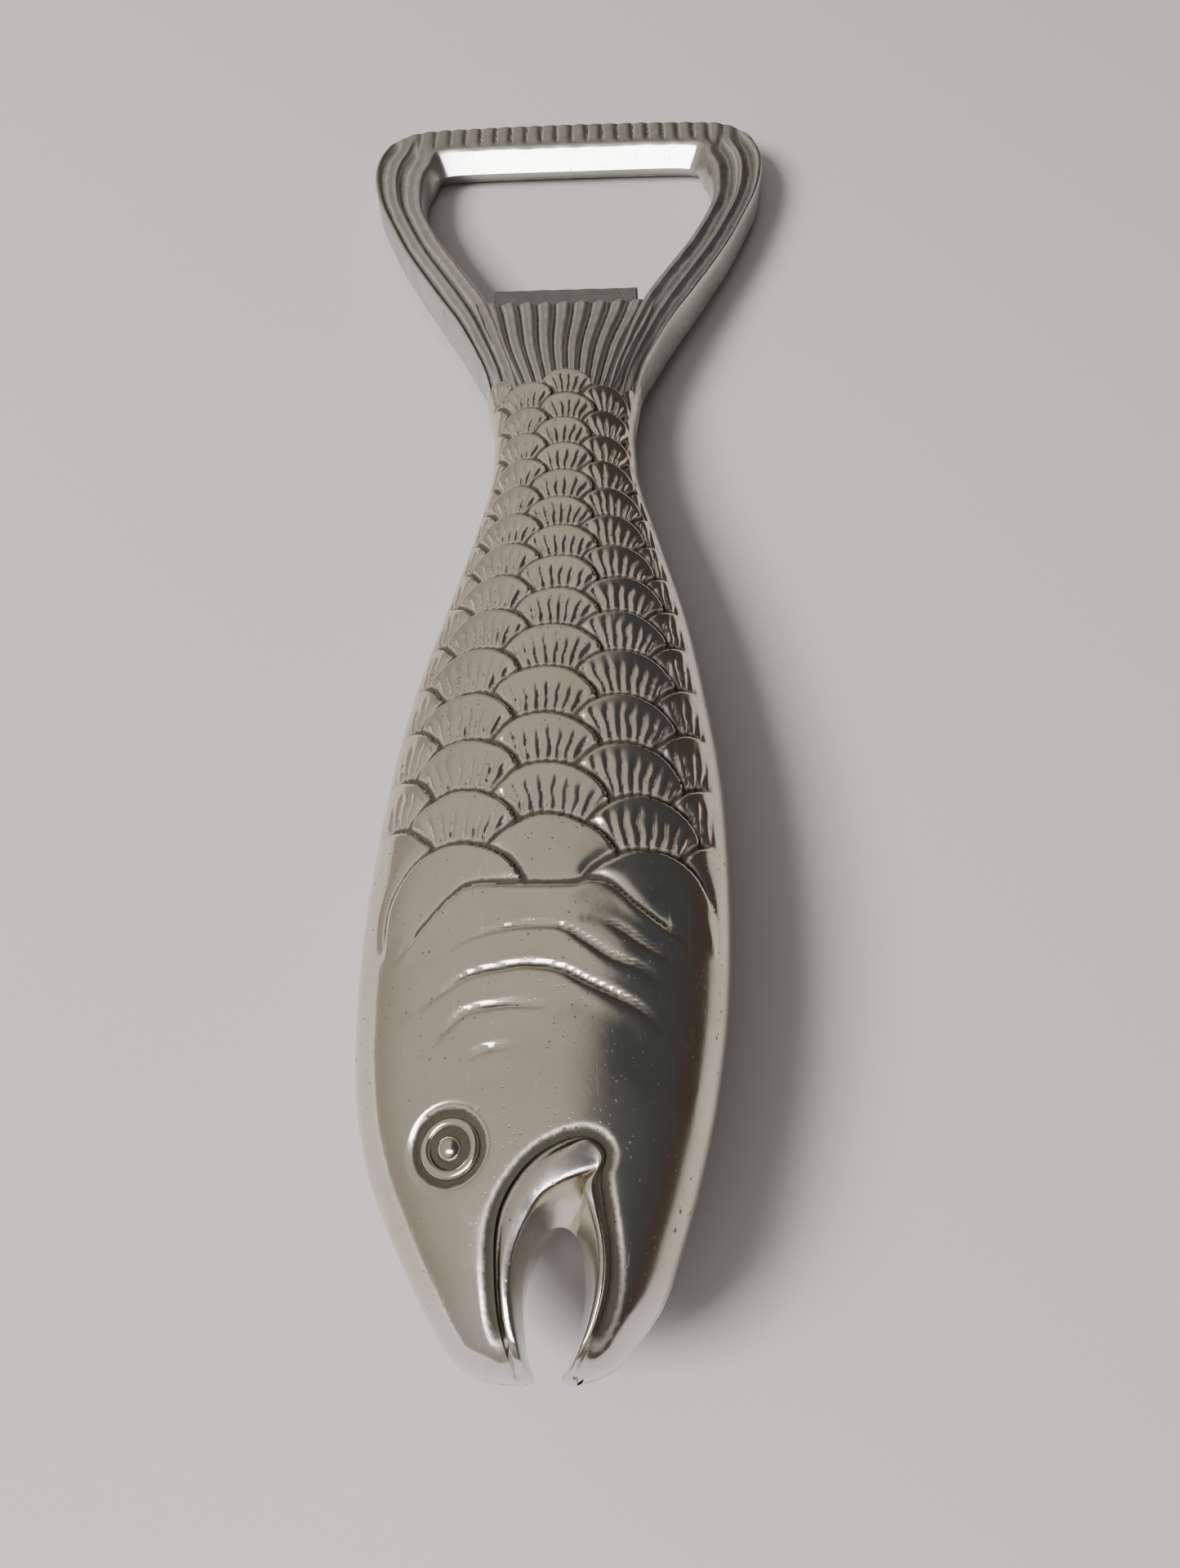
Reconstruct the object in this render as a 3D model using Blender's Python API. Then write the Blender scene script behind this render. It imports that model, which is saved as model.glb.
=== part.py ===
"""Fish-shaped cap lifter, lying on its flank.

The body is two hollow half shells that meet on the fish's middle plane.  A U-shaped liner
edges the mouth slot, a through rivet and two rings make the eyes, a looped tail frame is
socketed into the neck and holds a steel lifting lip.

The fish is modelled flat in its own frame: X across, Y from nose to tail, Z through the
thickness, middle plane at Z = 0.  A parent empty then lays it on the table.
"""
import math

import bmesh
import bpy
from mathutils import Matrix, Vector

MM = 0.001

# ---- driving sizes -------------------------------------------------------------------
LENGTH = 145 * MM
DRAWN_LENGTH = 164.5            # the fish is drawn this many units long
UNIT = LENGTH / DRAWN_LENGTH
GAP = 0.3 * MM                  # clearance between two pieces that touch
WALL = 2.2 * MM                 # shell wall
SECTION_POWER = 2.3             # how square the body's section is: 2 is an ellipse

# body: half widths, sideways drift and half thicknesses at each distance from the nose
BODY_STATIONS = (0, 2, 5, 9, 14, 20, 28, 38, 50, 60, 70, 80, 90, 96, 100, 104)
BODY_HALF_WIDTHS = (3.1, 6.4, 8.6, 10.7, 12.75, 14.4, 15.5, 15.9, 15.45, 14.3, 12.5, 10.3, 8.3, 7.95, 8.1, 8.7)
BODY_DRIFTS = (-0.5, -0.7, -0.5, -0.8, -1.15, -1.2, -0.9, -0.55, -0.15, 0.05, 0.45, 0.5, 0.3, 0.2, 0.1, 0)
BODY_HALF_THICKNESSES = (3.0, 4.6, 5.8, 6.6, 7.3, 7.9, 8.3, 8.5, 8.4, 7.9, 7.2, 6.3, 5.5, 5.2, 5.0, 4.9)
NECK_END = 103.7                # where the shells stop
HOLLOW_START, HOLLOW_END = 21, 84

# mouth slot: half widths at its waist, then an oval inner end; it flares to both flanks
SLOT_STATIONS = (-1, 1, 3.5, 6, 8)
SLOT_HALF_WIDTHS = (0.7, 1.3, 2.1, 2.4, 2.25)
SLOT_END_LENGTH = 2.9
SLOT_CENTRE = 0.35
SLOT_FLARE = 1.15
LINER_WALL = 2.0
LINER_PROUD = 0.4

# eye, through the head
EYE_ACROSS, EYE_FROM_NOSE = -7.2, 14.95
EYE_SOCKET_RADIUS = 3.1
EYE_SOCKET_FLOOR = 5.3          # height over the middle plane
RING_OUTER_RADIUS = 2.6
RING_INNER_RADIUS = 1.65
RING_HEIGHT = 1.4
RIVET_SHANK_RADIUS = 0.8
RIVET_HEAD_RADIUS = 1.2
RIVET_HEAD_RIM = 0.3
RIVET_HEAD_HEIGHT = 1.1

# tail frame: half widths, then a rounded corner and a shoulder that runs into the bar
TAIL_STATIONS = (105, 108.7, 113, 118.5, 123.5, 129.3, 135, 140.3, 145.5, 150, 154, 157.5)
TAIL_HALF_WIDTHS = (8.5, 9.6, 11.2, 13.6, 16.2, 19.1, 21.8, 23.9, 25.8, 26.9, 27.3, 26.9)
TAIL_CORNER = (25.0, 161.4)
TAIL_SHOULDER = (19.8, 163.9)
TAIL_HALF_THICKNESS = 2.6
TAIL_EDGE_BEVEL = 0.8

# opening that takes the crown cap, at its waist; the bar's inner side slopes both ways
OPENING_STATIONS = (122.3, 126, 131, 137, 143, 147.5, 150.5)
OPENING_HALF_WIDTHS = (9.7, 11.2, 14.0, 17.2, 19.5, 20.1, 20.0)
OPENING_CORNER = (19.0, 154.3)
OPENING_SHOULDER = (16.5, 156.3)
OPENING_END = 156.4
BAR_SLOPE = 2.4                 # how much wider the opening is at the two flanks

# swelling of the web between the neck and the lip; the opening cuts its end off
WEB_STATIONS = (104.05, 110, 116, 123.5)
WEB_HALF_WIDTHS = (8.6, 9.4, 9.9, 10.3)
WEB_HALF_THICKNESSES = (4.9, 4.4, 3.8, 3.0)
TANG_START = 88
TANG_HALF_WIDTH = 4.2
TANG_HALF_THICKNESS = 2.3

# lifting lip, a little above the middle plane
LIP_START, LIP_END = 112, 127
LIP_HALF_WIDTH = 9.3
LIP_LOW, LIP_HIGH = -0.8, 1.2
LIP_EDGE_ROUND = 0.4

# how it lies
TILT = math.radians(2.9)
WEAR_FLAT = 0.22 * MM           # depth worn off the flank that it lies on

SECTION_STEPS = 22
ROUND_STEPS = 40


# ---- general helpers -----------------------------------------------------------------
def clear_scene():
    for item in list(bpy.data.objects):
        bpy.data.objects.remove(item, do_unlink=True)


def metal(name, colour, roughness):
    finish = bpy.data.materials.new(name)
    finish.use_nodes = True
    shader = finish.node_tree.nodes["Principled BSDF"]
    shader.inputs["Base Color"].default_value = (*colour, 1.0)
    shader.inputs["Metallic"].default_value = 1.0
    shader.inputs["Roughness"].default_value = roughness
    return finish


def smooth_value(stations, values, at):
    """A smooth curve through (station, value) points, read at one place."""
    last = len(stations) - 1
    at = min(max(at, stations[0]), stations[last])
    span = max(i for i in range(last) if stations[i] <= at)
    low, high = stations[span], stations[span + 1]
    before, after = max(span - 1, 0), min(span + 2, last)
    slope_low = (values[span + 1] - values[before]) / (stations[span + 1] - stations[before])
    slope_high = (values[after] - values[span]) / (stations[after] - stations[span])
    width = high - low
    t = (at - low) / width
    return ((2 * t**3 - 3 * t**2 + 1) * values[span] + (t**3 - 2 * t**2 + t) * width * slope_low
            + (3 * t**2 - 2 * t**3) * values[span + 1] + (t**3 - t**2) * width * slope_high)


def along(distance_from_nose):
    """From drawing units behind the nose to metres along the fish."""
    return distance_from_nose * UNIT - LENGTH / 2


def spread(start, end, count):
    return [start + (end - start) * i / (count - 1) for i in range(count)]


def object_from(shape, name, finish=None):
    bmesh.ops.recalc_face_normals(shape, faces=shape.faces)
    mesh = bpy.data.meshes.new(name)
    shape.to_mesh(mesh)
    shape.free()
    item = bpy.data.objects.new(name, mesh)
    bpy.context.collection.objects.link(item)
    item.parent = FISH
    if finish:
        mesh.materials.append(finish)
        mesh.shade_smooth()
        mesh.set_sharp_from_angle(angle=math.radians(35))
    return item


def loft(rings):
    """A closed body skinned over rings that all have the same number of points."""
    shape = bmesh.new()
    loops = [[shape.verts.new(point) for point in ring] for ring in rings]
    count = len(rings[0])
    for first, second in zip(loops, loops[1:]):
        for i in range(count):
            j = (i + 1) % count
            shape.faces.new((first[i], first[j], second[j], second[i]))
    shape.faces.new(loops[0])
    shape.faces.new(loops[-1])
    return shape


def turned(profile, centre):
    """A solid turned about an upright axis from (radius, height) points."""
    shape = bmesh.new()
    points = [shape.verts.new((centre[0] + radius, centre[1], height)) for radius, height in profile]
    edges = [shape.edges.new(pair) for pair in zip(points, points[1:])]
    bmesh.ops.spin(shape, geom=points + edges, cent=(*centre, 0), axis=(0, 0, 1),
                   angle=2 * math.pi, steps=ROUND_STEPS, use_merge=True)
    bmesh.ops.remove_doubles(shape, verts=shape.verts, dist=1e-6)
    return shape


def box(low, high):
    shape = bmesh.new()
    bmesh.ops.create_cube(shape, size=1)
    size = Vector(high) - Vector(low)
    middle = (Vector(high) + Vector(low)) / 2
    bmesh.ops.transform(shape, matrix=Matrix.Translation(middle) @ Matrix.Diagonal((*size, 1)),
                        verts=shape.verts)
    return shape


def tool(shape, name):
    """A body used only to cut or join; it isn't a piece."""
    item = object_from(shape, name)
    item.hide_render = True
    item.display_type = "WIRE"
    return item


def combine(item, other, operation):
    modifier = item.modifiers.new(other.name, "BOOLEAN")
    modifier.operation = operation
    modifier.object = other
    modifier.solver = "EXACT"


def bevel(item, width, segments, angle=40):
    modifier = item.modifiers.new("edge_round", "BEVEL")
    modifier.width = width
    modifier.segments = segments
    modifier.limit_method = "ANGLE"
    modifier.angle_limit = math.radians(angle)


# ---- body ----------------------------------------------------------------------------
def body_size(distance):
    half_width = smooth_value(BODY_STATIONS, BODY_HALF_WIDTHS, distance) * UNIT
    drift = smooth_value(BODY_STATIONS, BODY_DRIFTS, distance) * UNIT
    half_thickness = smooth_value(BODY_STATIONS, BODY_HALF_THICKNESSES, distance) * UNIT
    return half_width, drift, half_thickness


def section_point(angle, half_width, half_thickness):
    power = 2 / SECTION_POWER
    across = math.copysign(abs(math.cos(angle)) ** power, math.cos(angle)) * half_width
    up = abs(math.sin(angle)) ** power * half_thickness
    return across, up


def half_section(distance, grow, base, side):
    """One side of the body's section: an arc that stands on the parting plane."""
    half_width, drift, half_thickness = body_size(distance)
    half_width += grow
    rise = half_thickness + grow - base
    ring = []
    for i in range(SECTION_STEPS + 1):
        across, up = section_point(math.pi * i / SECTION_STEPS, half_width, rise)
        ring.append((drift + across, along(distance), side * (base + up)))
    return ring


def body_distances(start, end):
    """Close together at the blunt nose, further apart down the flank."""
    steps = 26
    return [start + (end - start) * (i / steps) ** 1.35 for i in range(steps + 1)]


def half_body(side, grow=0.0, base=GAP / 2, start=0, end=NECK_END):
    return loft([half_section(d, grow, base, side) for d in body_distances(start, end)])


def make_shell(name, side, finish, cutters):
    shell = object_from(half_body(side), name, finish)
    below_parting = -1 * MM
    hollow = half_body(side, -WALL, below_parting, HOLLOW_START, HOLLOW_END)
    combine(shell, tool(hollow, name + "_hollow"), "DIFFERENCE")
    for cutter in cutters:
        combine(shell, cutter, "DIFFERENCE")
    return shell


# ---- mouth ---------------------------------------------------------------------------
def slot_outline(grow, overrun, height):
    """The mouth slot, open at the nose and oval at its inner end."""
    right = []
    for station in spread(SLOT_STATIONS[0], SLOT_STATIONS[-1], 9):
        half = smooth_value(SLOT_STATIONS, SLOT_HALF_WIDTHS, station) + grow
        right.append((SLOT_CENTRE + half, station))
    end_half, end_start = SLOT_HALF_WIDTHS[-1] + grow, SLOT_STATIONS[-1]
    for i in range(1, 6):
        angle = math.pi / 2 * i / 6
        right.append((SLOT_CENTRE + end_half * math.cos(angle),
                      end_start + (SLOT_END_LENGTH + grow) * math.sin(angle)))
    right[0] = (right[0][0], right[0][1] - overrun)
    left = [(2 * SLOT_CENTRE - x, y) for x, y in reversed(right)]
    outline = right + [(SLOT_CENTRE, end_start + SLOT_END_LENGTH + grow)] + left
    return [(x * UNIT, along(y), height * UNIT) for x, y in outline]


def make_mouth_liner(finish):
    reach = 12
    liner = object_from(loft([slot_outline(LINER_WALL, 0, z) for z in (-reach, reach)]), "mouth_liner", finish)
    rings = []
    for height in (-2 * reach, 0, 2 * reach):
        flare = SLOT_FLARE * abs(height) / BODY_HALF_THICKNESSES[4]
        rings.append(slot_outline(flare, 2, height))
    combine(liner, tool(loft(rings), "mouth_slot"), "DIFFERENCE")
    sections = []
    for distance in body_distances(0.2, 30):
        front = half_section(distance, LINER_PROUD * UNIT, 0, 1)
        back = half_section(distance, LINER_PROUD * UNIT, 0, -1)
        sections.append(front + back[-2:0:-1])
    combine(liner, tool(loft(sections), "mouth_form"), "INTERSECT")
    return liner


# ---- eyes ----------------------------------------------------------------------------
def turned_at_eye(profile, side):
    """Turn (radius, height) points about the eye's axis, on the front or the back."""
    centre = (EYE_ACROSS * UNIT, along(EYE_FROM_NOSE))
    return turned([(radius, side * height) for radius, height in profile], centre)


def dome(radius, low, rise, steps):
    """Points up a quarter oval, from its rim to just short of its top."""
    angles = [math.pi / 2 * i / steps for i in range(1, steps)]
    return [(radius * math.cos(angle), low + rise * math.sin(angle)) for angle in angles]


def make_eye_ring(name, side, finish):
    low = EYE_SOCKET_FLOOR * UNIT + GAP
    outer, inner = RING_OUTER_RADIUS * UNIT, RING_INNER_RADIUS * UNIT
    middle, half = (outer + inner) / 2, (outer - inner) / 2
    shoulder = low + RING_HEIGHT * UNIT - half
    profile = [(outer, low), (outer, shoulder)]
    for i in range(1, 6):
        angle = math.pi * i / 6
        profile.append((middle + half * math.cos(angle), shoulder + half * math.sin(angle)))
    profile += [(inner, shoulder), (inner, low), (outer, low)]
    return object_from(turned_at_eye(profile, side), name, finish)


def make_eye_rivet(finish):
    seat = EYE_SOCKET_FLOOR * UNIT + GAP
    rim = seat + RIVET_HEAD_RIM * UNIT
    shank, head, top = RIVET_SHANK_RADIUS * UNIT, RIVET_HEAD_RADIUS * UNIT, seat + RIVET_HEAD_HEIGHT * UNIT
    upper = [(shank, seat), (head, seat), (head, rim)] + dome(head, rim, top - rim, 5) + [(0, top)]
    profile = [(radius, -height) for radius, height in reversed(upper)] + upper
    return object_from(turned_at_eye(profile, 1), "eye_rivet", finish)


def eye_cutter(name, side):
    """Socket for the ring and the rivet's head, with the shank's hole under it."""
    hole = RIVET_SHANK_RADIUS * UNIT + GAP
    floor, socket = EYE_SOCKET_FLOOR * UNIT, EYE_SOCKET_RADIUS * UNIT
    below, above = -1 * MM, 12 * MM
    profile = [(0, below), (hole, below), (hole, floor), (socket, floor), (socket, above), (0, above)]
    return tool(turned_at_eye(profile, side), name)


# ---- tail ----------------------------------------------------------------------------
def rounded_side(stations, half_widths, corner, shoulder, end, steps):
    """A side that follows the half widths, turns a corner and runs along the bar."""
    side = [(smooth_value(stations, half_widths, s), s) for s in spread(stations[0], stations[-1], steps)]
    start, turn, finish = Vector(side[-1]), Vector(corner), Vector(shoulder)
    guide = 2 * turn - (start + finish) / 2
    for i in range(1, 7):
        t = i / 6
        side.append(tuple((1 - t) ** 2 * start + 2 * t * (1 - t) * guide + t**2 * finish))
    return side + [(0, end)]


def closed_outline(right, height):
    """Close a right-hand side with its mirror image and place it at a height."""
    left = [(-x, y) for x, y in reversed(right) if x > 0]
    return [(x * UNIT, along(y), height * UNIT) for x, y in right + left]


def opening_cutter():
    rings = []
    for height in (-2 * TAIL_HALF_THICKNESS, 0, 2 * TAIL_HALF_THICKNESS):
        slope = BAR_SLOPE * abs(height) / TAIL_HALF_THICKNESS
        corner = (OPENING_CORNER[0], OPENING_CORNER[1] + slope)
        shoulder = (OPENING_SHOULDER[0], OPENING_SHOULDER[1] + slope)
        side = rounded_side(OPENING_STATIONS, OPENING_HALF_WIDTHS, corner, shoulder, OPENING_END + slope, 12)
        rings.append(closed_outline(side, height))
    return tool(loft(rings), "cap_opening")


def web_section(distance):
    half_width = smooth_value(WEB_STATIONS, WEB_HALF_WIDTHS, distance) * UNIT
    half_thickness = smooth_value(WEB_STATIONS, WEB_HALF_THICKNESSES, distance) * UNIT
    ring = []
    for i in range(2 * SECTION_STEPS):
        angle = math.pi * i / SECTION_STEPS
        across, up = section_point(angle, half_width, half_thickness)
        ring.append((across, along(distance), math.copysign(up, math.sin(angle))))
    return ring


def tang_box(grow, overrun):
    half_width, half_thickness = TANG_HALF_WIDTH * UNIT + grow, TANG_HALF_THICKNESS * UNIT + grow
    return box((-half_width, along(TANG_START) - overrun, -half_thickness),
               (half_width, along(WEB_STATIONS[0]) + 2 * MM, half_thickness))


def lip_box(grow):
    half_width = LIP_HALF_WIDTH * UNIT + grow
    return box((-half_width, along(LIP_START) - grow, LIP_LOW * UNIT - grow),
               (half_width, along(LIP_END) + grow, LIP_HIGH * UNIT + grow))


def make_tail_frame(finish):
    side = rounded_side(TAIL_STATIONS, TAIL_HALF_WIDTHS, TAIL_CORNER, TAIL_SHOULDER, DRAWN_LENGTH, 24)
    faces = [closed_outline(side, z) for z in (-TAIL_HALF_THICKNESS, TAIL_HALF_THICKNESS)]
    frame = object_from(loft(faces), "tail_frame", finish)
    bevel(frame, TAIL_EDGE_BEVEL * UNIT, 2)
    combine(frame, TABLE, "DIFFERENCE")
    web = [web_section(d) for d in spread(WEB_STATIONS[0], WEB_STATIONS[-1], 9)]
    combine(frame, tool(loft(web), "tail_web"), "UNION")
    combine(frame, tool(tang_box(0, 0), "tail_tang"), "UNION")
    combine(frame, tool(lip_box(GAP), "lip_pocket"), "DIFFERENCE")
    combine(frame, opening_cutter(), "DIFFERENCE")
    return frame


def make_lifter_plate(finish):
    lip = object_from(lip_box(0), "lifter_plate", finish)
    bevel(lip, LIP_EDGE_ROUND * UNIT, 3)
    return lip


# ---- how it lies on the table --------------------------------------------------------
def lay_fish():
    """Tip the fish so that its flank and its tail both rest at Z = 0, centred in plan."""
    lean = -TILT
    lowest = min(along(d) * math.sin(lean) - body_size(d)[2] * math.cos(lean)
                 for d in spread(0, NECK_END, 200))
    nose = -LENGTH / 2 * math.cos(lean) + body_size(0)[2] * math.sin(lean)
    tail_edge = (TAIL_HALF_THICKNESS - TAIL_EDGE_BEVEL) * UNIT
    tail = LENGTH / 2 * math.cos(lean) - tail_edge * math.sin(lean)
    FISH.rotation_euler = (lean, 0, 0)
    FISH.location = (0, -(nose + tail) / 2, -lowest - WEAR_FLAT)


def make_table():
    reach = 120 * MM
    table = tool(box((-reach, -reach, -reach), (reach, reach, 0)), "table_plane")
    table.parent = None
    return table


clear_scene()
FISH = bpy.data.objects.new("fish_frame", None)
bpy.context.collection.objects.link(FISH)
TABLE = make_table()
lay_fish()

nickel = metal("nickel_plate", (0.56, 0.50, 0.43), 0.32)
dull_nickel = metal("dull_nickel", (0.50, 0.48, 0.42), 0.40)
pale_nickel = metal("pale_nickel", (0.72, 0.68, 0.60), 0.30)
steel = metal("lip_steel", (0.52, 0.50, 0.47), 0.38)

liner_grow = LINER_WALL + GAP / UNIT
liner_pocket = tool(loft([slot_outline(liner_grow, 2, z) for z in (-20, 20)]), "liner_pocket")
tang_pocket = tool(tang_box(GAP, 4 * MM), "tang_pocket")
make_shell("front_shell", 1, nickel, (liner_pocket, tang_pocket, eye_cutter("front_eye_socket", 1)))
make_shell("back_shell", -1, nickel, (liner_pocket, tang_pocket, eye_cutter("back_eye_socket", -1), TABLE))
make_mouth_liner(pale_nickel)
make_eye_ring("eye_ring_front", 1, pale_nickel)
make_eye_ring("eye_ring_back", -1, pale_nickel)
make_eye_rivet(nickel)
make_tail_frame(dull_nickel)
make_lifter_plate(steel)
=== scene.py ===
"""The looks of the fish cap lifter: relief, worn nickel with painted highlights, patina with painted shade,
floor, light and camera.

Shapes are drawn in the maker's units, 164.5 to the fish's length: x across the body,
s from the nose towards the tail, z out of the middle plane.  to_world() lays them on the table.
"""
import math

import bpy
import numpy as np
from mathutils import Matrix, Vector
from mathutils.kdtree import KDTree


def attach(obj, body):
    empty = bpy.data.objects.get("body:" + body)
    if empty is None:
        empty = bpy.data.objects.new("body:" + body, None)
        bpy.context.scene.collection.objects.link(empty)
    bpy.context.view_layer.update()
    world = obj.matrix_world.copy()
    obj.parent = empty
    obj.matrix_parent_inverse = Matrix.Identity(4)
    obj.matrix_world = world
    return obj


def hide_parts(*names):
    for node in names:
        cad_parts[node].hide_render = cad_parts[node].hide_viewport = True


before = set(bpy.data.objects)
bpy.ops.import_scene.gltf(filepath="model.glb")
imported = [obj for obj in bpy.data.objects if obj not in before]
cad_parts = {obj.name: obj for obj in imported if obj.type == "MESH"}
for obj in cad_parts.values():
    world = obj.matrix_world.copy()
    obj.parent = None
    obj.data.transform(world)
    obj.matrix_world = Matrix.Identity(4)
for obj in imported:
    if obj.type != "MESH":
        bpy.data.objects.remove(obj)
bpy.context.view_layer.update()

# ---- driving sizes -------------------------------------------------------------------
LENGTH = 0.145
UNITS_LONG = 164.5
UNIT = LENGTH / UNITS_LONG
TILT = math.radians(2.9)
LIE_FORWARD, LIE_HEIGHT = 0.000027, 0.005776
SECTION_POWER = 2.3

BODY_STATIONS = (0, 0.12, 0.45, 1, 2, 5, 9, 14, 20, 28, 38, 50, 60, 70, 80, 90, 96, 100, 104, 110)
BODY_HALF_WIDTHS = (1.2, 2.9, 4.3, 5.4, 6.5, 8.7, 10.7, 12.75, 14.4, 15.5, 15.9, 15.45, 14.3, 12.5, 10.3,
                    8.3, 7.95, 8.1, 8.7, 9.6)
BODY_DRIFTS = (-0.5, -0.55, -0.6, -0.65, -0.7, -0.5, -0.8, -1.15, -1.2, -0.9, -0.55, -0.15, 0.05, 0.45,
               0.5, 0.3, 0.2, 0.1, 0, 0)
BODY_HALF_THICKNESSES = (0.8, 2.1, 3.2, 4.1, 4.85, 5.9, 6.6, 7.3, 7.9, 8.3, 8.5, 8.4, 7.9, 7.2, 6.3, 5.5,
                         5.2, 5.0, 4.9, 4.4)
SHELL_END = 107.0

# scale pattern: where each row's rounded edge lies, and how far apart the columns stand
ROW_NUMBERS = (-1, 0, 3, 6, 9, 11, 13, 14)
ROW_EDGES = (110.6, 106.1, 92.7, 79.0, 64.6, 53.6, 42.6, 37.3)
COLUMN_STATIONS = (36, 45, 52, 62, 70, 80, 90, 106)
COLUMN_SPACINGS = (8.4, 7.9, 7.4, 7.3, 6.5, 5.7, 5.1, 4.8)
COLUMN_DRIFTS = (0.5, 0.0, -0.7, -0.7, 0.1, 0.15, 0.25, 0.5)
HEAD_ROW = 13
SCALE_RELIEF = 0.52
RAY_DEPTH = 0.21

# gill cover and gill folds: (x, s) points of each line
GILL_COVER = ((-15, 29.0), (-12.4, 30.6), (-10.3, 33.0), (-8.5, 35.0), (-6.9, 36.1), (-5, 36.2), (-2.2, 36.0),
              (1.8, 36.0), (3.4, 36.35), (5.3, 35.9), (6.9, 34.5), (8.6, 33.2), (10.6, 32.0),
              (13, 30.2), (15, 28))
GILL_FOLDS = (
    ((-8.4, 30.3), (-6.6, 31.4), (-3.5, 32.15), (-0.3, 32.35), (1.5, 32.0), (3.2, 30.9),
     (5.2, 29.6), (7.4, 28.8), (8.8, 27.6)),
    ((2.9, 32.85), (5.2, 32.4), (7.4, 31.1), (9.8, 29.7)),
    ((-10.2, 25.8), (-8.4, 27.0), (-6.4, 28.15), (-3.4, 28.7), (-1.6, 28.9), (1.0, 28.5),
     (3.0, 27.5), (5.2, 26.5), (7.3, 25.4), (8.6, 24.1)),
    ((-8.9, 22.7), (-7.5, 24.3), (-6.1, 25.2), (-3.0, 25.6), (-0.2, 25.5), (0.8, 25.9)),
    ((-6.3, 21.0), (-5.5, 21.8), (-3.8, 22.2), (-2.2, 22.2)),
)
FOLD_STRENGTHS = (0.9, 0.7, 1.15, 0.9, 0.75)

# mouth, from the tip of the upper jaw round the corner to the tip of the lower jaw:
# (groove, outer edge of the lip, inner edge of the lip, waist of the slot)
MOUTH = (
    ((-2.3, 0.1), (-1.85, 0.1), (-1.5, 0.2), (-1.0, 0.15)),
    ((-3.05, 2.0), (-2.45, 2.0), (-1.95, 2.1), (-1.55, 1.8)),
    ((-3.5, 4.0), (-2.85, 4.0), (-2.3, 4.2), (-1.95, 4.2)),
    ((-3.72, 6.4), (-3.0, 6.2), (-2.38, 6.3), (-2.02, 6.0)),
    ((-3.75, 8.7), (-2.75, 8.2), (-2.0, 8.1), (-1.88, 7.5)),
    ((-3.4, 10.6), (-2.1, 10.1), (-1.25, 9.8), (-1.35, 9.0)),
    ((-2.4, 12.5), (-1.0, 12.1), (-0.2, 11.4), (-0.75, 9.9)),
    ((-0.9, 14.1), (0.5, 13.6), (1.15, 12.3), (0.0, 10.45)),
    ((1.1, 15.25), (1.9, 14.7), (2.5, 12.85), (0.85, 10.62)),
    ((2.95, 15.66), (3.05, 15.2), (3.55, 13.15), (1.4, 10.45)),
    ((4.2, 15.15), (3.9, 14.7), (3.9, 13.2), (1.75, 10.2)),
    ((4.6, 14.2), (4.15, 13.9), (3.5, 12.75), (1.95, 10.0)),
    ((4.2, 12.9), (3.45, 12.3), (2.85, 12.0), (2.1, 9.8)),
    ((4.4, 11.0), (3.62, 10.7), (3.3, 10.5), (2.3, 9.2)),
    ((4.75, 8.75), (4.05, 8.7), (3.78, 8.7), (2.5, 8.3)),
    ((4.85, 6.9), (4.2, 6.9), (3.9, 6.9), (2.7, 6.6)),
    ((4.65, 5.1), (4.0, 5.1), (3.7, 5.1), (2.65, 5.0)),
    ((4.1, 3.4), (3.5, 3.35), (3.2, 3.3), (2.3, 3.3)),
    ((3.2, 1.6), (2.8, 1.6), (2.5, 1.6), (1.75, 1.7)),
    ((2.3, 0.1), (2.1, 0.1), (1.85, 0.15), (1.0, 0.2)),
)

EYE = (-7.2, 14.95)
EYE_GROOVE = 2.98
EYE_LEAN = math.radians(13)

# tail loop: (outer edge, inner edge) from the root of the right arm to the bar's middle
LOOP = (
    ((8.2, 102.5), (5.0, 102.8)), ((9.6, 108.7), (6.1, 108.2)), ((11.2, 113.0), (7.2, 112.5)),
    ((13.6, 118.5), (8.5, 117.9)), ((16.2, 123.5), (10.2, 123.2)), ((19.1, 129.3), (13.2, 129.3)),
    ((21.8, 135.0), (16.0, 134.6)), ((23.9, 140.3), (18.3, 139.8)), ((25.8, 145.5), (19.8, 144.4)),
    ((26.9, 150.0), (20.2, 148.4)), ((27.3, 154.0), (20.2, 151.4)), ((26.9, 157.5), (19.9, 153.4)),
    ((25.9, 160.3), (19.3, 154.7)), ((24.1, 162.4), (18.3, 155.6)), ((21.6, 163.6), (16.9, 156.1)),
    ((18.5, 164.0), (15.2, 156.3)), ((12.0, 164.3), (10.6, 156.4)), ((0.0, 164.5), (0.0, 156.4)),
)
BAR_RIDGE_PITCH = 2.2

LIP_WIDTH, LIP_START, LIP_DEPTH = 18.6, 117.5, 9.5
LIP_TOP, LIP_UNDERSIDE = 1.25, -0.8

FLANK_ROWS, FLANK_COLUMNS = 500, 190


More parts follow.
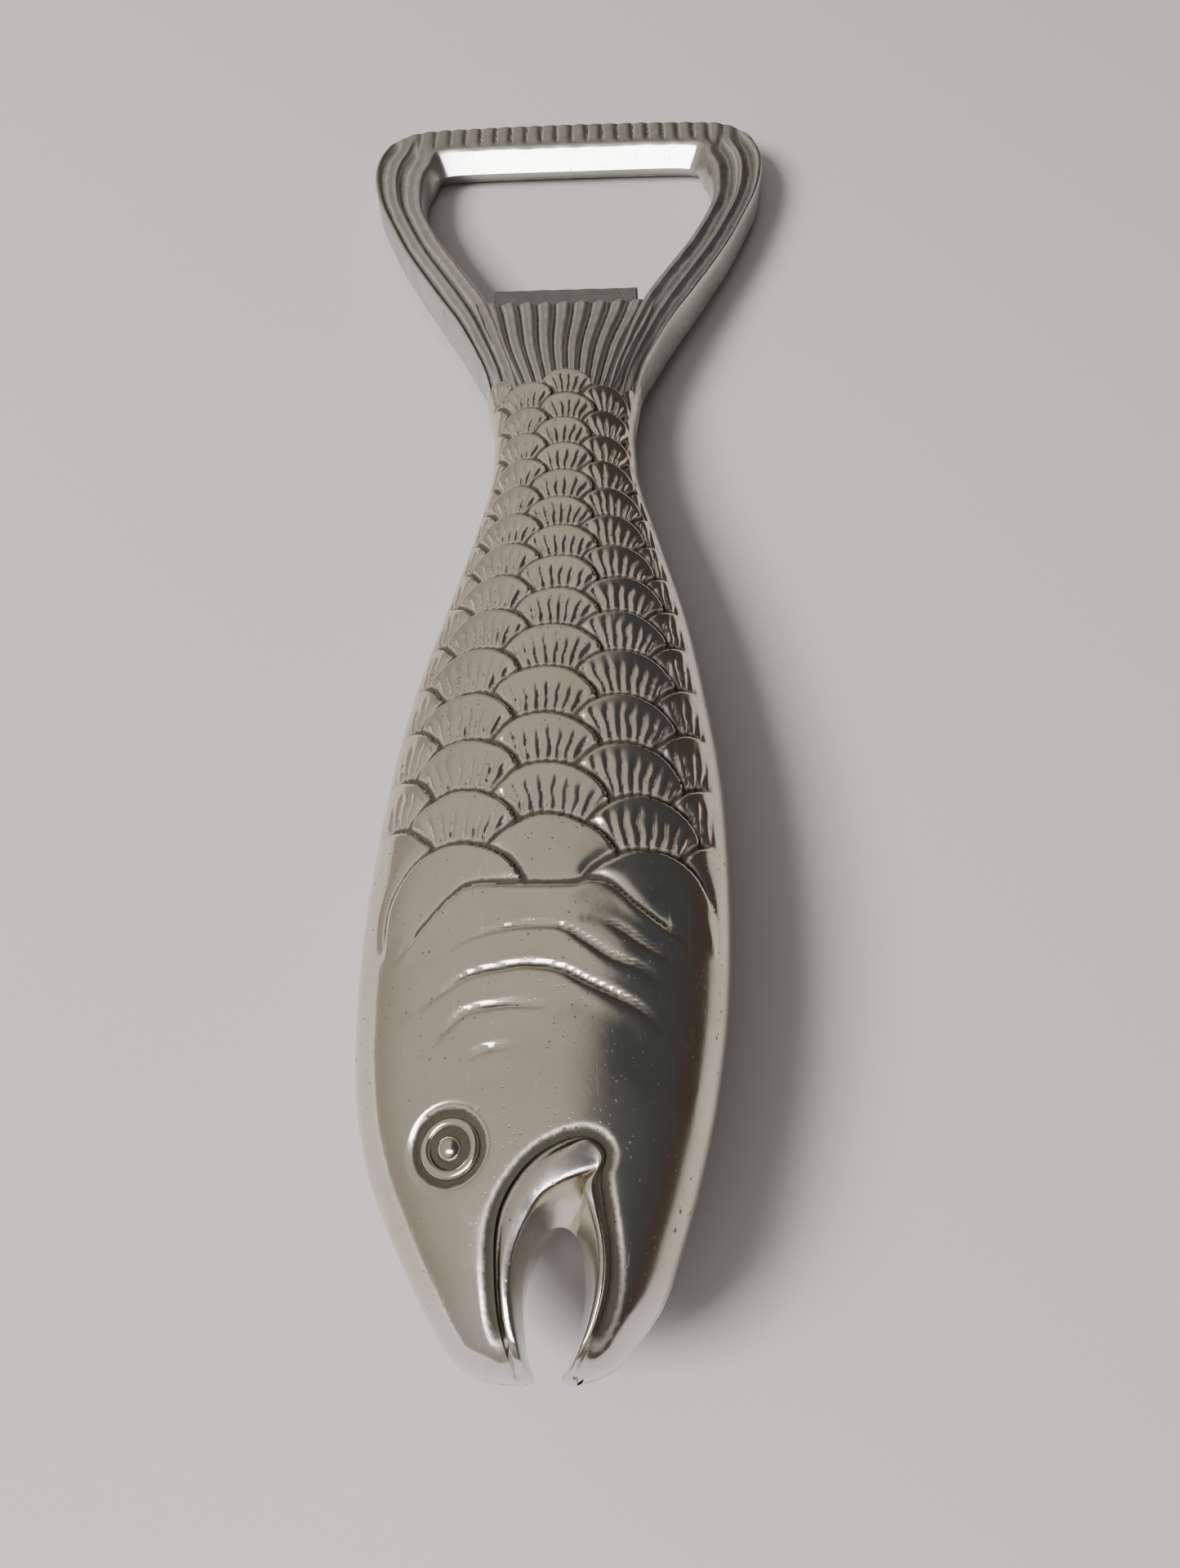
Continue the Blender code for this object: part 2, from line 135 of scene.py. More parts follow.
# ---- general helpers -----------------------------------------------------------------
def smooth(stations, values, at):
    """A smooth curve through (station, value) points, read at an array of places."""
    stations, values = np.asarray(stations, float), np.asarray(values, float)
    at = np.clip(np.asarray(at, float), stations[0], stations[-1])
    slopes = np.empty_like(values)
    slopes[1:-1] = ((values[2:] - values[:-2]).T / (stations[2:] - stations[:-2])).T
    slopes[0] = (values[1] - values[0]) / (stations[1] - stations[0])
    slopes[-1] = (values[-1] - values[-2]) / (stations[-1] - stations[-2])
    span = np.clip(np.searchsorted(stations, at, side="right") - 1, 0, len(stations) - 2)
    width = stations[span + 1] - stations[span]
    t = (at - stations[span]) / width
    if values.ndim > 1:
        t, width = t[..., None], width[..., None]
    return ((2 * t**3 - 3 * t**2 + 1) * values[span] + (t**3 - 2 * t**2 + t) * width * slopes[span]
            + (3 * t**2 - 2 * t**3) * values[span + 1] + (t**3 - t**2) * width * slopes[span + 1])


def ramp(low, high, value):
    """0 below low, 1 above high, eased between."""
    t = np.clip((value - low) / (high - low), 0, 1)
    return t * t * (3 - 2 * t)


def bump(distance, width):
    return np.exp(-(distance / width) ** 2)


def wander(x, y, size, seed):
    """Gentle hand-made unevenness, about -1 to 1."""
    total = np.zeros(np.broadcast(x, y).shape)
    for i in range(4):
        turn = seed * 1.7 + i * 2.39
        pace = (1 + 0.37 * i) * 2 * math.pi / size
        total += np.sin(pace * (x * math.cos(turn) + y * math.sin(turn)) + seed * 3.1 + i * 1.9)
    return total / 4


def resample(points, count):
    """A smooth path through points, as evenly spaced points."""
    points = np.asarray(points, float)
    knots = np.linspace(0, len(points) - 1, 1200)
    fine = smooth(np.arange(len(points)), points.reshape(len(points), -1), knots)
    run = np.concatenate([[0], np.cumsum(np.linalg.norm(np.diff(fine, axis=0), axis=1))])
    at = np.linspace(0, run[-1], count)
    even = np.stack([np.interp(at, run, column) for column in fine.T], 1)
    return even.reshape((count,) + points.shape[1:])


def line_distance(x, s, line):
    """Distance to a line, which side of it, and how far along it, for arrays of places."""
    nearest = np.full(x.shape, 1e9)
    side, place = np.zeros(x.shape), np.zeros(x.shape)
    for i, ((x0, s0), (x1, s1)) in enumerate(zip(line, line[1:])):
        dx, ds = x1 - x0, s1 - s0
        t = np.clip(((x - x0) * dx + (s - s0) * ds) / (dx * dx + ds * ds), 0, 1)
        away = np.hypot(x - x0 - t * dx, s - s0 - t * ds)
        closer = away < nearest
        nearest = np.where(closer, away, nearest)
        side = np.where(closer, np.sign(dx * (s - s0) - ds * (x - x0)), side)
        place = np.where(closer, (i + t) / (len(line) - 1), place)
    return nearest, side, place


def to_world(points):
    """Maker's units, flat on the middle plane, to metres on the table."""
    points = np.asarray(points, float) * UNIT
    points[..., 1] -= LENGTH / 2
    cosine, sine = math.cos(-TILT), math.sin(-TILT)
    y = points[..., 1] * cosine - points[..., 2] * sine + LIE_FORWARD
    z = points[..., 1] * sine + points[..., 2] * cosine + LIE_HEIGHT
    return np.stack([points[..., 0], y, z], -1)


def surface_normals(grid):
    across = np.gradient(grid, axis=1)
    along = np.gradient(grid, axis=0)
    normal = np.cross(across, along)
    return normal / np.maximum(np.linalg.norm(normal, axis=-1, keepdims=True), 1e-9)


def select_none():
    if bpy.context.object and bpy.context.object.mode != "OBJECT":
        bpy.ops.object.mode_set(mode="OBJECT")
    bpy.ops.object.select_all(action="DESELECT")


def only(piece):
    select_none()
    piece.select_set(True)
    bpy.context.view_layer.objects.active = piece


def grid_piece(name, points):
    """A primitive grid whose rows and columns are laid on an array of points."""
    rows, columns = points.shape[:2]
    select_none()
    bpy.ops.mesh.primitive_grid_add(x_subdivisions=columns - 1, y_subdivisions=rows - 1, size=1)
    piece = bpy.context.object
    piece.name = piece.data.name = name
    piece.data.vertices.foreach_set("co", points.reshape(-1).astype(np.float32))
    piece.data.update()
    return piece


def store(piece, name, values):
    layer = piece.data.attributes.new(name, "FLOAT", "POINT")
    layer.data.foreach_set("value", np.asarray(values, np.float32).reshape(-1))


def apply_modifier(piece, modifier):
    only(piece)
    bpy.ops.object.modifier_apply(modifier=modifier.name)


def close_tube(piece, rows, columns):
    """Join a grid's first and last columns with a strip, and fill its two ends."""
    only(piece)
    bpy.ops.object.mode_set(mode="EDIT")
    bpy.ops.mesh.select_mode(type="EDGE")
    bpy.ops.mesh.select_all(action="DESELECT")
    bpy.ops.object.mode_set(mode="OBJECT")
    ends = np.zeros(len(piece.data.edges) * 2, np.int64)
    piece.data.edges.foreach_get("vertices", ends)
    column = ends.reshape(-1, 2) % columns
    on_side = ((column == 0).all(1)) | ((column == columns - 1).all(1))
    piece.data.edges.foreach_set("select", on_side)
    bpy.ops.object.mode_set(mode="EDIT")
    bpy.ops.mesh.bridge_edge_loops()
    bpy.ops.mesh.select_all(action="DESELECT")
    bpy.ops.mesh.select_non_manifold(extend=False, use_wire=False, use_boundary=True,
                                     use_multi_face=False, use_non_contiguous=False, use_verts=False)
    bpy.ops.mesh.edge_face_add()
    bpy.ops.mesh.select_all(action="SELECT")
    bpy.ops.mesh.normals_make_consistent(inside=False)
    bpy.ops.object.mode_set(mode="OBJECT")


def finish_piece(piece, material, slot, *nodes, angle=50):
    piece.data.materials.clear()
    piece.data.materials.append(material)
    only(piece)
    bpy.ops.object.shade_smooth_by_angle(angle=math.radians(angle))
    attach(piece, "root")
    if nodes:
        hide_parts(*nodes)


# ---- body relief ---------------------------------------------------------------------
def body_size(s):
    return (smooth(BODY_STATIONS, BODY_HALF_WIDTHS, s), smooth(BODY_STATIONS, BODY_DRIFTS, s),
            smooth(BODY_STATIONS, BODY_HALF_THICKNESSES, s))


def dome_height(x, s):
    """Height of the plain body over the middle plane."""
    half_width, drift, half_thickness = body_size(s)
    out = np.clip(np.abs(x - drift) / half_width, 0, 0.999)
    return half_thickness * (1 - out**SECTION_POWER) ** (1 / SECTION_POWER)


def flank_grid(rows, columns):
    """Plain half body: a grid of points, with each point's run round the section."""
    s = np.interp(np.linspace(0, 1, rows), (0, 0.01, 0.03, 0.06, 0.29, 1), (0, 0.12, 0.6, 2, 37, SHELL_END))
    half_width, drift, half_thickness = body_size(s)
    angle = np.linspace(math.pi, 0, 600)
    across = np.sign(np.cos(angle)) * np.abs(np.cos(angle)) ** (2 / SECTION_POWER)
    up = np.sin(angle) ** (2 / SECTION_POWER)
    grid, run = np.empty((rows, columns, 3)), np.empty((rows, columns))
    for i in range(rows):
        x, z = drift[i] + half_width[i] * across, half_thickness[i] * up
        length = np.concatenate([[0], np.cumsum(np.hypot(np.diff(x), np.diff(z)))])
        at = np.linspace(0, length[-1], columns)
        grid[i, :, 0], grid[i, :, 1] = np.interp(at, length, x), s[i]
        grid[i, :, 2] = np.interp(at, length, z)
        run[i] = at - np.interp(0, x, length)
    return grid, run


def scale_field(run, s):
    """Lay the scales from the tail to the head; each one covers the ones before it."""
    shape = s.shape
    rim, cover = np.full(shape, 9.0), np.full(shape, 9.0)
    ray, count, plain, tail = np.zeros(shape), np.full(shape, 6.0), np.zeros(shape), np.ones(shape)
    scales = []
    for column in range(-3, 4):
        odd = column % 2
        for number in range(HEAD_ROW + 1):
            place = number + 0.5 * odd
            edge = float(smooth(ROW_NUMBERS, ROW_EDGES, place))
            edge -= 0.5 * column if column > 0 else 0.25 * column
            scales.append((edge, column, number))
    for edge, column, number in sorted(scales, reverse=True):
        spacing = float(smooth(COLUMN_STATIONS, COLUMN_SPACINGS, edge))
        radius = spacing * (0.69 - 0.06 * float(ramp(60, 100, edge)))
        middle = column * spacing + float(smooth(COLUMN_STATIONS, COLUMN_DRIFTS, edge))
        middle += 0.22 * math.sin(column * 5.1 + number * 2.3)
        if number == HEAD_ROW:
            radius *= 1.1
        p, q = run - middle, s - (edge - radius)
        reach = np.where(q > 0, np.hypot(p, q), np.abs(p))
        inside = reach < radius
        cover = np.where(inside, 9.0, np.minimum(cover, reach - radius))
        rim = np.where(inside, radius - reach, rim)
        focus = np.arctan2(p, q + 1.5 * radius) / math.atan(1 / 1.5)
        ray = np.where(inside, focus, ray)
        count = np.where(inside, 11.0 if spacing > 6.4 else 9.0 if spacing > 5.3 else 7.0, count)
        plain = np.where(inside, float(number == HEAD_ROW), plain)
        tail = np.where(inside, 0.0, tail)
    return rim, cover, ray, count, plain, tail


def mouth_groove(count):
    """The groove round the mouth, as evenly spaced points."""
    return resample([station[0] for station in MOUTH], count)


def flank_relief(x, s, run):
    """Height over the plain body, and how sheltered each place is, for the body's face."""
    wobble = 0.13 * wander(x, s, 6, 1)
    rim, cover, ray, count, plain, tail = scale_field(run + wobble, s + 0.15 * wander(x, s, 8, 2))
    half_width, drift, _ = body_size(s)
    out = (x - drift) / half_width
    cover_line = smooth(*np.array(GILL_COVER).T, x)
    behind_cover = s - cover_line
    on_head = behind_cover < 0
    step_fade = ramp(0.80, 0.64, np.abs(out))
    cover = np.minimum(cover, np.where(behind_cover > 0, behind_cover + 4 * (1 - step_fade), 9))
    share = cover / (cover + rim + 1e-6)
    phase = ray * count / 2 + 0.15 * wander(x, s, 3, 5)
    ridge = np.abs(np.cos(math.pi * phase)) ** 0.75
    fade = (1 - ramp(0.45, 0.88, share + 0.10 * wander(x, s, 2.2, 3))) * (1 - plain)
    rise = ramp(-0.1, 1.5, cover - 0.35 * (1 - ridge) * fade)
    height = SCALE_RELIEF * (0.45 * rise + 0.55 * ramp(0, 1, share) ** 0.9)
    height -= RAY_DEPTH * (1 - ridge) * fade * ramp(0, 0.6, cover)
    height -= 0.12 * (1 - ramp(0, 0.30, rim))
    # dark along the scales' overlapped edges, and down the ray grooves, where it is partly painted shade so
    # the rays show in any light
    recess = np.maximum(1.15 * (1 - ramp(0.15, 1.15, cover)), 0.80 * ramp(0.30, 0.80, 1 - ridge) * fade)
    height = np.where(tail > 0.5, -0.9, height)
    smooth_level = 0.62 * SCALE_RELIEF
    band = np.maximum(ramp(0.86, 0.95, np.abs(out) + 0.02 * np.sign(out)),
                      (1 - step_fade) * (1 - ramp(0.5, 4, behind_cover)))
    height = height * (1 - band) + smooth_level * band
    recess = recess * (1 - band)
    head_height = smooth_level + 0.12 * bump(behind_cover + 0.7, 0.8) - 0.22 * bump(behind_cover, 0.3)
    head_height = smooth_level + (head_height - smooth_level) * step_fade
    height = np.where(on_head, head_height, height)
    recess = np.where(on_head, 0.7 * bump(behind_cover, 0.22) * step_fade, recess)
    for line, strength in zip(GILL_FOLDS, FOLD_STRENGTHS):
        away, side, place = line_distance(x, s, resample(line, 40))
        taper = np.sin(math.pi * np.clip(place, 0.02, 0.98)) ** 0.5 * strength
        height -= 0.34 * bump(away, 0.34) * taper
        height += np.where(side < 0, 0.15, -0.05) * bump(away - 0.9, 0.80) * taper
        # painted shade: each gill fold's dark line goes into the recess mask, which the metal colours dark
        recess = np.maximum(recess, 1.05 * bump(away, 0.30) * np.minimum(taper, 1))
    away, _, place = line_distance(x, s, mouth_groove(60))
    near_mouth = ramp(0.0, 0.10, place) * ramp(1.0, 0.90, place)
    height -= 0.26 * bump(away, 0.50) * near_mouth
    # a wide dark band down the mouth trough's slopes: partly patina, partly painted shade
    recess = np.maximum(recess, 1.15 * bump(away, 0.85) * near_mouth)
    eye = np.hypot(x - EYE[0], s - EYE[1])
    height -= 0.60 * (1 - ramp(EYE_GROOVE - 0.6, EYE_GROOVE + 0.35, eye))
    recess = np.maximum(recess, 1.1 * (1 - ramp(EYE_GROOVE - 0.3, EYE_GROOVE + 0.35, eye)))
    return height, recess


def mouth_outline(shrink):
    """The groove round the mouth as a closed outline that opens past the nose."""
    groove = mouth_groove(70)
    middle = np.array((0.4, 8.0))
    inward = groove + (middle - groove) / np.linalg.norm(middle - groove, axis=1)[:, None] * shrink
    start, end = inward[0], inward[-1]
    return np.concatenate([[(start[0] + 0.3, -4)], inward, [(end[0] - 0.3, -4)]])


def mouth_cutter(side):
    outline = mouth_outline(0.12)
    points = [np.column_stack([outline, np.full(len(outline), z)]) for z in (-1 * side, 14 * side)]
    cutter = grid_piece("mouth_cutter", to_world(np.array(points)))
    close_tube(cutter, 2, len(outline))
    return cutter


def make_flank(name, side, material, node):
    rows, columns = FLANK_ROWS, FLANK_COLUMNS
    grid, run = flank_grid(rows, columns)
    height, recess = flank_relief(grid[..., 0], grid[..., 1], run)
    border = np.minimum(np.arange(columns), np.arange(columns)[::-1]) / 6
    height *= np.clip(border, 0, 1)
    normal = surface_normals(grid)
    points = grid + normal * height[..., None]
    points[..., 2] = np.maximum(points[..., 2], 0.03)
    if side < 0:
        points = points[:, ::-1] * (1, 1, -1)
        recess = recess[:, ::-1]
    laid = to_world(points)
    piece = grid_piece(name, laid)
    close_tube(piece, rows, columns)
    cutter = mouth_cutter(side)
    cut = piece.modifiers.new("mouth", "BOOLEAN")
    cut.object, cut.operation, cut.solver = cutter, "DIFFERENCE", "MANIFOLD"
    apply_modifier(piece, cut)
    bpy.data.objects.remove(cutter)
    nearest = KDTree(rows * columns)
    for i, place in enumerate(laid.reshape(-1, 3)):
        nearest.insert(place, i)
    nearest.balance()
    origin = [nearest.find(vertex.co)[1] for vertex in piece.data.vertices]
    # near-white nose tips: partly wear, partly a painted highlight
    tips = (1 - ramp(3, 7, points[..., 1])) * (1 - recess)
    store(piece, "recess", recess.reshape(-1)[origin])
    store(piece, "wear_and_highlight", tips.reshape(-1)[origin])
    finish_piece(piece, material, "nickel_body", node)


# ---- mouth ---------------------------------------------------------------------------
def make_mouth(material):
    """The lip round the slot and the slot's waisted wall, swept from jaw tip to jaw tip."""
    stations = resample(MOUTH, 220)
    groove, crest, edge, waist = (stations[:, i] for i in range(4))
    fade = np.minimum(ramp(0.0, 3.0, groove[:, 1]), 1)
    outward = groove - crest
    outward /= np.linalg.norm(outward, axis=1, keepdims=True)
    rows = []

    def add(place, lift, share=0.0):
        top = dome_height(place[:, 0], np.maximum(place[:, 1], 0.12)) + lift
        rows.append(np.column_stack([place, top * (1 - share)]))

    add(groove + outward * 0.45, -2.2)
    add(groove + outward * 0.30, -0.75 * fade - 0.06)
    add(groove, -0.42 * fade + 0.02)
    add(groove * 0.6 + crest * 0.4, -0.24 * fade + 0.02)
    add(groove * 0.2 + crest * 0.8, 0.06 * fade)
    add(crest, 0.14 * fade)
    add(crest * 0.75 + edge * 0.25, 0.12 * fade)
    add(crest * 0.4 + edge * 0.6, 0.05 * fade)
    add(crest * 0.1 + edge * 0.9, -0.04 * fade)
    for t in (0.05, 0.14, 0.26, 0.4, 0.55, 0.7, 0.85, 0.95, 1.0):
        place = edge * (1 - t) + waist * t
        base = dome_height(edge[:, 0], np.maximum(edge[:, 1], 0.12)) - 0.1 * fade
        rows.append(np.column_stack([place, base * (1 - t**1.35)]))
    half = np.array(rows).transpose(1, 0, 2)
    count = half.shape[1]
    fine = np.linspace(0, count - 1, 46)
    half = np.stack([smooth(np.arange(count), ring, fine) for ring in half])
    ring = np.concatenate([half, half[:, -2::-1] * (1, 1, -1)], 1)
    tips = []
    for end, order in ((ring[0], 1), (ring[-1], -1)):
        middle = (end[20] + end[70]) / 2
        caps = [middle + (end - middle) * (size, 1, size * size) - (0, push, 0)
                for push, size in ((0.42, 0.3), (0.40, 0.6), (0.31, 0.84), (0.15, 0.96))]
        tips.append(np.array(caps[::order]))
    ring = np.concatenate([tips[0], ring, tips[1]])
    piece = grid_piece("mouth_lip", to_world(ring))
    depth = np.zeros(46)
    depth[:16] = 1.15 * bump(np.arange(16) - 5.0, 3.6)
    recess = np.concatenate([depth, depth[-2::-1]]) * np.ones((len(ring), 1))
    reach = np.concatenate([np.zeros(4), fade, np.zeros(4)])[:, None]
    store(piece, "recess", recess * reach)
    # near-white jaw tips: partly wear, partly a painted highlight
    store(piece, "wear_and_highlight", (1 - recess * reach) * (1 - ramp(3, 7, ring[..., 1])))
    close_tube(piece, *ring.shape[:2])
    finish_piece(piece, material, "nickel_jaw", "mouth_liner", angle=60)


# ---- eye -----------------------------------------------------------------------------
def eye_level():
    """Height of the plain body at the eye."""
    return float(dome_height(*map(np.array, EYE)))


def eye_ring(name, side, material, node):
    centre = to_world(np.array((EYE[0], EYE[1], side * (eye_level() - 0.42))))
    select_none()
    bpy.ops.mesh.primitive_torus_add(
        location=centre, rotation=(-TILT + math.radians(4) * side, -EYE_LEAN * side, 0), major_segments=96,
        minor_segments=28, major_radius=1.96 * UNIT, minor_radius=0.40 * UNIT)
    ring = bpy.context.object
    ring.name = ring.data.name = name
    bpy.ops.object.transform_apply(location=True, rotation=True, scale=True)
    finish_piece(ring, material, "nickel_jaw", node)


def make_pupil(material):
    """The pin through the head, with a round head on each flank."""
    top = eye_level()
    turn = (-TILT, 0, 0)
    parts = []
    select_none()
    bpy.ops.mesh.primitive_cylinder_add(vertices=64, radius=0.8 * UNIT, depth=2 * (top - 0.9) * UNIT,
                                        location=to_world(np.array((EYE[0], EYE[1], 0.0))), rotation=turn)
    parts.append(bpy.context.object)
    for side in (1, -1):
        select_none()
        place = to_world(np.array((EYE[0], EYE[1], side * (top - 0.75))))
        bpy.ops.mesh.primitive_uv_sphere_add(segments=64, ring_count=32, radius=1.08 * UNIT, location=place,
                                             rotation=(-TILT, -EYE_LEAN * side, 0))
        parts.append(bpy.context.object)
    for part in parts:
        part.select_set(True)
    bpy.context.view_layer.objects.active = parts[0]
    bpy.ops.object.join()
    piece = bpy.context.object
    piece.name = piece.data.name = "pupil_pin"
    bpy.ops.object.transform_apply(location=True, rotation=True, scale=True)
    finish_piece(piece, material, "nickel_body", "eye_rivet")


# ---- tail ----------------------------------------------------------------------------
def tail_top(x, s):
    """Height of the tail's face: domed like the body at the neck, flat at the loop."""
    flat = smooth((100, 112, 118, 124, 132, 165), (3.7, 3.45, 3.2, 2.9, 2.65, 2.6), s)
    half_width = smooth((100, 104, 108.7, 113, 118.5, 125, 165), (8.6, 9.2, 10.3, 12.0, 14.6, 19, 40), s)
    round_top = 4.85 * (1 - np.clip(np.abs(x) / half_width, 0, 0.995)**2.3) ** (1 / 2.3)
    share = ramp(101, 121, s)
    return round_top * (1 - share) + flat * share


# how deep the arm's rails are cut, from its outer edge to the opening
ARM_RAILS = ((0, 0), (0.045, 0.02), (0.13, 1), (0.27, 0.45), (0.40, 0), (0.445, 0.03), (0.55, 1),
             (0.70, 0.45), (0.86, 0), (0.93, 0.05), (1, 0.3))
ARM_SECTION = ((0, 0), (0, 0.45), (0, 0.8), (0.02, 0.94), (0.055, 1))
ARM_INNER = ((0.955, 1), (0.985, 0.94), (1, 0.8), (1, 0.45), (1, 0))
BAR_INNER = ((0.69, 1), (0.715, 0.965), (0.76, 0.84), (0.88, 0.42), (1, 0))


def make_tail_loop(material):
    half = np.array(LOOP)
    path = resample(np.concatenate([half, half[-2::-1] * (-1, 1)]), 760)
    outer, inner = path[:, 0], path[:, 1]
    at_bar = (1 - ramp(17.2, 19.7, np.abs(inner[:, 0]))) * ramp(150, 156, outer[:, 1])
    turning = (1 - ramp(20.5, 26.6, np.abs(outer[:, 0]))) * ramp(150, 156, outer[:, 1])
    tops = 44
    shape_outer = np.array(ARM_SECTION)
    shape_inner = (np.array(ARM_INNER)[None] * (1 - at_bar)[:, None, None]
                   + np.array(BAR_INNER)[None] * at_bar[:, None, None])
    edge_count = len(ARM_SECTION)
    t = np.linspace(0, 1, tops + 2)[1:-1]
    f = np.empty((len(path), edge_count * 2 + tops))
    h = np.ones_like(f)
    f[:, :edge_count], h[:, :edge_count] = shape_outer[:, 0], shape_outer[:, 1]
    f[:, -edge_count:], h[:, -edge_count:] = shape_inner[..., 0], shape_inner[..., 1]
    f[:, edge_count:-edge_count] = shape_outer[-1, 0] * (1 - t) + shape_inner[:, :1, 0] * t
    x = outer[:, None, 0] * (1 - f) + inner[:, None, 0] * f
    s = outer[:, None, 1] * (1 - f) + inner[:, None, 1] * f
    z = tail_top(x, s) * h
    flat_top = ramp(0.9, 0.99, h)
    near_root = ramp(101, 106, s)
    across = np.clip(f + 0.55 * turning[:, None], 0, 1)
    rails = smooth(*np.array(ARM_RAILS).T, across) * (1 - at_bar)[:, None]
    ridge = np.abs(np.cos(math.pi * (x + 0.5) / BAR_RIDGE_PITCH)) ** 0.5
    bars = (1 - ridge) * at_bar[:, None]
    bars = bars * (1 - ramp(0.46, 0.70, f))
    z = z - flat_top * near_root * 0.62 * rails - flat_top * 0.55 * bars
    z += 0.05 * wander(x, s, 5, 8) * flat_top
    recess = flat_top * np.clip(np.maximum(rails * 1.1, bars * 1.15), 0, 1)
    # arm tops worn bright; the bar's inner face gets a painted highlight
    wear_and_highlight = np.maximum(flat_top * (1 - ramp(0.02, 0.16, rails + bars)) * (1 - at_bar[:, None]),
                        (1 - ramp(0.93, 0.98, h)) * at_bar[:, None] * (f > 0.5))
    half_ring = np.stack([x, s, z], -1)
    ring = np.concatenate([half_ring[:, 1:], half_ring[:, ::-1] * (1, 1, -1)], 1)
    piece = grid_piece("tail_loop", to_world(ring))
    store(piece, "recess", np.concatenate([recess[:, 1:], recess[:, ::-1]], 1))
    store(piece, "wear_and_highlight", np.concatenate([wear_and_highlight[:, 1:], wear_and_highlight[:, ::-1]], 1))
    close_tube(piece, *ring.shape[:2])
    finish_piece(piece, material, "nickel_tail", "tail_frame", angle=42)


def make_tail_fan(material):
    """The ribbed web between the arms, from the last scales to the lifting lip."""
    rows, columns = 90, 240
    s = np.linspace(101.5, 122.6, rows)[:, None] * np.ones(columns)
    side = np.linspace(-1, 1, columns)[None] * np.ones((rows, 1))
    half_width = smooth((100, 108.7, 113, 118.5, 123), (6.6, 7.2, 8.6, 10.4, 11.6), s)
    x = side * half_width
    pitch = 1.12 + np.maximum(s - 103, 0) * 0.0635
    u = x / pitch + 0.12 + 0.10 * np.sin(s * 0.35)
    crest = np.abs(np.cos(math.pi * u)) ** 0.75
    z = tail_top(x, s) - 0.12 - 0.62 * (1 - crest)
    z += 0.06 * wander(x, s, 6, 4)
    z = z * np.where(s > 122.0, 1 - 0.22 * (s - 122.0) ** 2 / 0.36, 1)
    recess = np.clip(1.35 * (1 - crest), 0, 1.1)
    wear_and_highlight = ramp(0.90, 1.0, crest)
    top = np.stack([x, s, z], -1)
    ring = np.concatenate([top, top[:, ::-1] * (1, 1, -1)], 1)
    piece = grid_piece("tail_fan", to_world(ring))
    store(piece, "recess", np.concatenate([recess, recess[:, ::-1]], 1))
    store(piece, "wear_and_highlight", np.concatenate([wear_and_highlight, wear_and_highlight[:, ::-1]], 1))
    close_tube(piece, *ring.shape[:2])
    finish_piece(piece, material, "nickel_tail", "tail_frame", angle=60)


def make_lip(material):
    """The lifting lip: a plain steel tongue with softened edges and a few dents."""
    select_none()
    bpy.ops.mesh.primitive_grid_add(x_subdivisions=60, y_subdivisions=20, size=1)
    lip = bpy.context.object
    lip.name = lip.data.name = "lifting_lip"
    bpy.ops.object.mode_set(mode="EDIT")
    bpy.ops.mesh.select_all(action="SELECT")
    bpy.ops.mesh.extrude_region_move(TRANSFORM_OT_translate={"value": (0, 0, -1)})
    bpy.ops.mesh.select_all(action="SELECT")
    bpy.ops.mesh.normals_make_consistent(inside=False)
    bpy.ops.object.mode_set(mode="OBJECT")
    count = len(lip.data.vertices)
    co = np.empty(count * 3)
    lip.data.vertices.foreach_get("co", co)
    co = co.reshape(-1, 3)
    x, s = co[:, 0] * LIP_WIDTH, LIP_START + (co[:, 1] + 0.5) * LIP_DEPTH
    top = co[:, 2] > -0.5
    z = np.where(top, LIP_TOP + 0.06 * wander(x, s, 4, 6), LIP_UNDERSIDE)
    lip.data.vertices.foreach_set("co", to_world(np.stack([x, s, z], -1)).reshape(-1).astype(np.float32))
    lip.data.update()
    edge = lip.modifiers.new("softened_edge", "BEVEL")
    edge.width, edge.segments, edge.limit_method = 0.42 * UNIT, 4, "ANGLE"
    edge.angle_limit = math.radians(60)
    apply_modifier(lip, edge)
    finish_piece(lip, material, "lip_steel", "lifter_plate")


# ---- materials -----------------------------------------------------------------------
class Nodes:
    """Adds and joins shader nodes in one tree."""

    def __init__(self, tree):
        self.tree = tree

    def add(self, kind, **settings):
        node = self.tree.nodes.new("ShaderNode" + kind)
        for key, value in settings.items():
            setattr(node, key, value)
        return node

    def join(self, source, target):
        self.tree.links.new(source, target)

    def feed(self, socket, value):
        if isinstance(value, bpy.types.NodeSocket):
            self.join(value, socket)
        else:
            socket.default_value = value

    def math(self, operation, a, b=0.0, clamp=False):
        node = self.add("Math", operation=operation, use_clamp=clamp)
        self.feed(node.inputs[0], a)
        self.feed(node.inputs[1], b)
        return node.outputs[0]

    def span(self, value, low, high, to_low=0.0, to_high=1.0):
        node = self.add("MapRange", interpolation_type="SMOOTHSTEP")
        for socket, setting in zip(node.inputs, (value, low, high, to_low, to_high)):
            self.feed(socket, setting)
        return node.outputs[0]

    def noise(self, vector, scale, detail=3.0, roughness=0.55, distortion=0.0):
        node = self.add("TexNoise")
        self.join(vector, node.inputs["Vector"])
        for key, value in (("Scale", scale), ("Detail", detail), ("Roughness", roughness),
                           ("Distortion", distortion)):
            node.inputs[key].default_value = value
        return node.outputs["Fac"]

    def tint(self, share, first, second):
        node = self.add("Mix", data_type="RGBA")
        self.feed(node.inputs["Factor"], share)
        self.feed(node.inputs["A"], first)
        self.feed(node.inputs["B"], second)
        return node.outputs["Result"]


